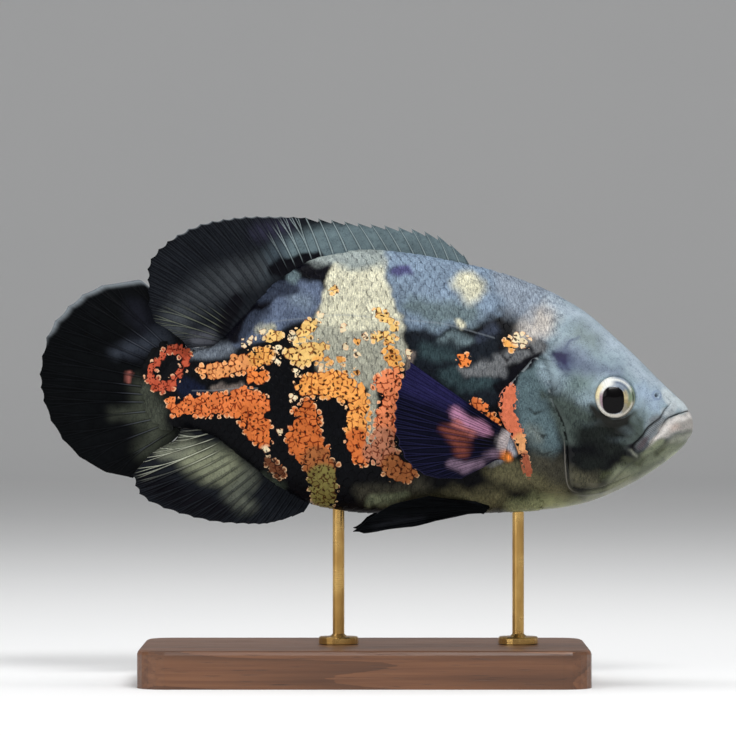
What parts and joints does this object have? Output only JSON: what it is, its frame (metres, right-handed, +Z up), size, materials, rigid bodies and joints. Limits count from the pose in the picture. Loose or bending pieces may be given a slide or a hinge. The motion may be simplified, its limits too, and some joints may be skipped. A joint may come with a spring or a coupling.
{
  "type": "oscar fish display model",
  "caption": "Still life-size oscar fish with spread fins and a swept tail, held level above a flat wooden base by slim brass rods.",
  "frame": {"origin": "on the floor, at the middle of the underside of the display base", "axes": "+Z up, +X towards the fish's snout, +Y towards the fish's left flank"},
  "size_m": [0.2801, 0.1, 0.1984],
  "materials": {
    "skin": "satin scaled skin, slate grey with orange-red and cream marbling",
    "lip": "satin bare skin, pale grey and white",
    "fin": "satin membrane, charcoal with grey rays",
    "pectoral_fin": "satin membrane, indigo with a lilac-pink band",
    "eye": "wet gloss, cream iris and black pupil",
    "walnut": "oiled walnut",
    "brass": "satin brass"
  },
  "bodies": {
    "root": {"head": "skin", "upper_lip": "lip", "lower_jaw": "lip", "torso": "skin", "tail_stem": "skin", "gill_cover_right": "skin", "gill_cover_left": "skin", "eye_right": "eye", "eye_left": "eye", "dorsal_fin": "fin", "anal_fin": "fin", "tail_fin": "fin", "pectoral_fin_right": "pectoral_fin", "pectoral_fin_left": "pectoral_fin", "pelvic_fin_right": "fin", "pelvic_fin_left": "fin", "stand_base": "walnut", "stand_rod_front": "brass", "stand_rod_rear": "brass"}
  },
  "joints": []
}
